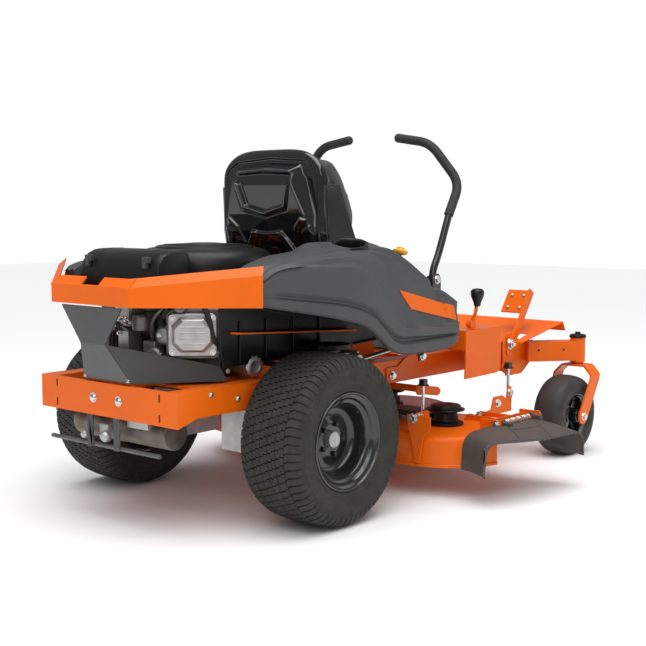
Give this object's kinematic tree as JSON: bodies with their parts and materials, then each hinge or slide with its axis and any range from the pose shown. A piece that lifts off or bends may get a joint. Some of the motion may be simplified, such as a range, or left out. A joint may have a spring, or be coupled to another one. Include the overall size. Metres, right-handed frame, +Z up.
{
  "type": "zero turn mower",
  "caption": "Zero-turn riding mower with rear engine, drive wheels, front swivel casters, lap-bar steering, tilting seat and a liftable side-discharge deck.",
  "frame": {"origin": "on the ground under the middle of the machine, with the tyres standing on the ground", "axes": "+X towards the front casters, +Y to the operator's left, +Z up"},
  "size_m": [2.001, 1.428, 1.1897],
  "materials": {
    "orange_paint": "gloss powder coat",
    "grey_paint": "satin powder coat",
    "black_paint": "gloss powder coat",
    "grey_plastic": "fine textured moulding",
    "black_plastic": "satin moulding",
    "seat_plastic": "high gloss moulding",
    "seat_vinyl": "padded vinyl",
    "tyre_rubber": "matt rubber",
    "chute_rubber": "matt moulded rubber",
    "cast_metal": "as cast",
    "plated_steel": "zinc plated",
    "yellow_plastic": "satin moulding"
  },
  "bodies": {
    "chassis": {"frame_rail_r": "orange_paint", "frame_rail_l": "orange_paint", "front_cross_tube": "orange_paint", "engine_plate": "orange_paint", "caster_arm_r": "orange_paint", "caster_arm_l": "orange_paint", "rear_bumper": "orange_paint", "engine_guard": "orange_paint", "guard_support": "grey_paint", "engine_block": "cast_metal", "valve_cover_r": "cast_metal", "valve_cover_l": "cast_metal", "blower_housing": "black_plastic", "air_cleaner": "black_plastic", "oil_filter": "cast_metal", "muffler": "cast_metal", "transaxle_r": "cast_metal", "transaxle_l": "cast_metal", "fender_r": "grey_plastic", "fender_l": "grey_plastic", "floor_pan": "orange_paint", "side_box_r": "orange_paint", "side_box_l": "orange_paint", "seat_riser": "orange_paint"},
    "drive_wheel_r": {"rear_tyre_r": "tyre_rubber", "rear_rim_r": "black_paint"},
    "drive_wheel_l": {"rear_tyre_l": "tyre_rubber", "rear_rim_l": "black_paint"},
    "caster_r": {"caster_fork_r": "orange_paint"},
    "caster_l": {"caster_fork_l": "orange_paint"},
    "caster_wheel_r": {"caster_tyre_r": "tyre_rubber", "caster_rim_r": "black_paint"},
    "caster_wheel_l": {"caster_tyre_l": "tyre_rubber", "caster_rim_l": "black_paint"},
    "lap_base_r": {"lap_pivot_r": "black_paint"},
    "lap_base_l": {"lap_pivot_l": "black_paint"},
    "lap_lever_r": {"lap_bar_r": "black_paint"},
    "lap_lever_l": {"lap_bar_l": "black_paint"},
    "seat": {"seat_shell": "seat_plastic", "seat_cushion": "seat_vinyl", "seat_backrest": "seat_vinyl"},
    "deck": {"deck_shell": "orange_paint", "belt_cover": "black_plastic", "chute_bracket": "orange_paint", "rear_hanger_r": "plated_steel", "rear_hanger_l": "plated_steel", "front_hanger_r": "plated_steel", "front_hanger_l": "plated_steel"},
    "chute": {"discharge_chute": "chute_rubber"},
    "spindle_r": {"blade_r": "plated_steel"},
    "spindle_c": {"blade_c": "plated_steel"},
    "spindle_l": {"blade_l": "plated_steel"},
    "rear_lift_shaft": {"lift_shaft_rear": "orange_paint"},
    "front_lift_shaft": {"lift_shaft_front": "orange_paint"},
    "pedal": {"lift_pedal": "orange_paint"},
    "lever": {"height_lever": "orange_paint"},
    "knob": {"pto_knob": "yellow_plastic"},
    "cap": {"fuel_cap": "black_plastic"},
    "screen": {"fan_screen": "black_plastic"},
    "crank": {"crank_pulley": "black_paint"}
  },
  "joints": [
    {"name": "drive_wheel_r_spin", "type": "hinge", "parent": "chassis", "child": "drive_wheel_r", "pos_m": [-0.4905, -0.361, 0.254], "axis": [0, 1, 0], "continuous": true},
    {"name": "caster_r_swivel", "type": "hinge", "parent": "chassis", "child": "caster_r", "pos_m": [0.9425, -0.411, 0.39], "axis": [0, 0, 1], "continuous": true},
    {"name": "caster_wheel_r_spin", "type": "hinge", "parent": "caster_r", "child": "caster_wheel_r", "pos_m": [0.8505, -0.411, 0.15], "axis": [0, 1, 0], "continuous": true},
    {"name": "lap_r_drive", "type": "hinge", "parent": "chassis", "child": "lap_base_r", "pos_m": [0.1525, -0.29, 0.585], "axis": [0, 1, 0], "range_deg": [-6.5, 12]},
    {"name": "lap_r_swing", "type": "hinge", "parent": "lap_base_r", "child": "lap_lever_r", "pos_m": [0.1525, -0.29, 0.608], "axis": [1, 0, 0], "range_deg": [0, 25]},
    {"name": "drive_wheel_l_spin", "type": "hinge", "parent": "chassis", "child": "drive_wheel_l", "pos_m": [-0.4905, 0.503, 0.254], "axis": [0, 1, 0], "continuous": true},
    {"name": "caster_l_swivel", "type": "hinge", "parent": "chassis", "child": "caster_l", "pos_m": [0.9425, 0.553, 0.39], "axis": [0, 0, 1], "continuous": true},
    {"name": "caster_wheel_l_spin", "type": "hinge", "parent": "caster_l", "child": "caster_wheel_l", "pos_m": [0.8505, 0.553, 0.15], "axis": [0, 1, 0], "continuous": true},
    {"name": "lap_l_drive", "type": "hinge", "parent": "chassis", "child": "lap_base_l", "pos_m": [0.1525, 0.432, 0.585], "axis": [0, 1, 0], "range_deg": [-6.5, 12]},
    {"name": "lap_l_swing", "type": "hinge", "parent": "lap_base_l", "child": "lap_lever_l", "pos_m": [0.1525, 0.432, 0.608], "axis": [-1, 0, 0], "range_deg": [0, 25]},
    {"name": "seat_tilt", "type": "hinge", "parent": "chassis", "child": "seat", "pos_m": [0.1095, 0.071, 0.652], "axis": [0, 1, 0], "range_deg": [0, 40]},
    {"name": "deck_lift", "type": "slide", "parent": "chassis", "child": "deck", "axis": [0, 0, 1], "range_m": [-0.05, 0.03]},
    {"name": "rear_shaft_turn", "type": "hinge", "parent": "chassis", "child": "rear_lift_shaft", "pos_m": [0.1595, 0.071, 0.31], "axis": [0, 1, 0], "range_deg": [-28, 17]},
    {"name": "front_shaft_turn", "type": "hinge", "parent": "chassis", "child": "front_lift_shaft", "pos_m": [0.6775, 0.071, 0.328], "axis": [0, 1, 0], "range_deg": [-30, 18]},
    {"name": "pedal_turn", "type": "hinge", "parent": "chassis", "child": "pedal", "pos_m": [0.6495, -0.287, 0.4], "axis": [0, 1, 0], "range_deg": [-22, 13.5]},
    {"name": "blade_c_spin", "type": "hinge", "parent": "deck", "child": "spindle_c", "pos_m": [0.3775, 0.071, 0.15], "axis": [0, 0, 1], "continuous": true},
    {"name": "blade_r_spin", "type": "hinge", "parent": "deck", "child": "spindle_r", "pos_m": [0.1775, -0.334, 0.15], "axis": [0, 0, 1], "continuous": true},
    {"name": "blade_l_spin", "type": "hinge", "parent": "deck", "child": "spindle_l", "pos_m": [0.1775, 0.476, 0.15], "axis": [0, 0, 1], "continuous": true},
    {"name": "chute_flip", "type": "hinge", "parent": "deck", "child": "chute", "pos_m": [0.2755, -0.555, 0.224], "axis": [-1, 0, 0], "range_deg": [0, 85]},
    {"name": "height_lever_turn", "type": "hinge", "parent": "chassis", "child": "lever", "pos_m": [0.3715, -0.301, 0.521], "axis": [0, 1, 0], "range_deg": [-18, 18]},
    {"name": "pto_pull", "type": "slide", "parent": "chassis", "child": "knob", "axis": [0.2425, 0, 0.9701], "range_m": [0, 0.015]},
    {"name": "fuel_cap_turn", "type": "hinge", "parent": "chassis", "child": "cap", "pos_m": [-0.2545, 0.406, 0.78], "axis": [0, 0, 1], "range_deg": [0, 180]},
    {"name": "crank_spin", "type": "hinge", "parent": "chassis", "child": "crank", "pos_m": [-0.5905, 0.071, 0.35], "axis": [0, 0, 1], "continuous": true},
    {"name": "screen_spin", "type": "hinge", "parent": "chassis", "child": "screen", "pos_m": [-0.5525, 0.071, 0.805], "axis": [0, 0, 1], "continuous": true}
  ],
  "couplings": [
    {"joint": "rear_shaft_turn", "follows": "deck_lift", "rad_per_m": 9.52},
    {"joint": "front_shaft_turn", "follows": "deck_lift", "rad_per_m": 10.3},
    {"joint": "pedal_turn", "follows": "deck_lift", "rad_per_m": 7.5},
    {"joint": "blade_r_spin", "follows": "blade_c_spin", "ratio": 1},
    {"joint": "blade_l_spin", "follows": "blade_c_spin", "ratio": 1},
    {"joint": "screen_spin", "follows": "crank_spin", "ratio": 1}
  ]
}
